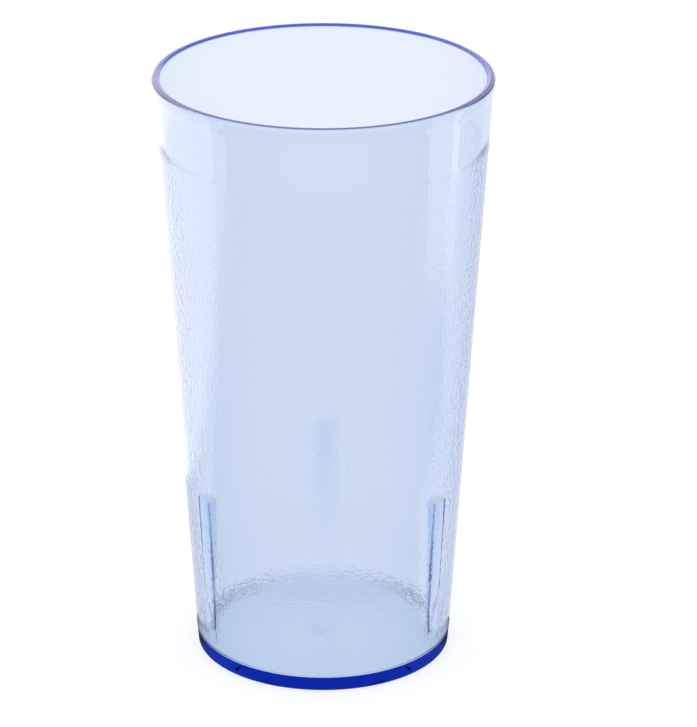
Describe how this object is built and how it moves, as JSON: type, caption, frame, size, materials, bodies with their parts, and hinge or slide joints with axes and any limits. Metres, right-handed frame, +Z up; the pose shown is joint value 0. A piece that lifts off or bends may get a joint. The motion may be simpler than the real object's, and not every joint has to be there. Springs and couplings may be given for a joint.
{
  "type": "plastic tumbler",
  "caption": "Tapered clear blue plastic tumbler with a rounded lip, a smooth drinking band, pebbled sides, a foot ring and stacking lugs inside.",
  "frame": {"origin": "centre of the foot ring, on the surface that the tumbler stands on", "axes": "+Z up along the tumbler's axis towards the mouth, +Y towards one of the stacking lugs"},
  "size_m": [0.0824, 0.0824, 0.149],
  "materials": {
    "blue_clear_plastic": "clear and glossy, with pebbled sides outside"
  },
  "bodies": {
    "root": {"tumbler": "blue_clear_plastic"}
  },
  "joints": []
}
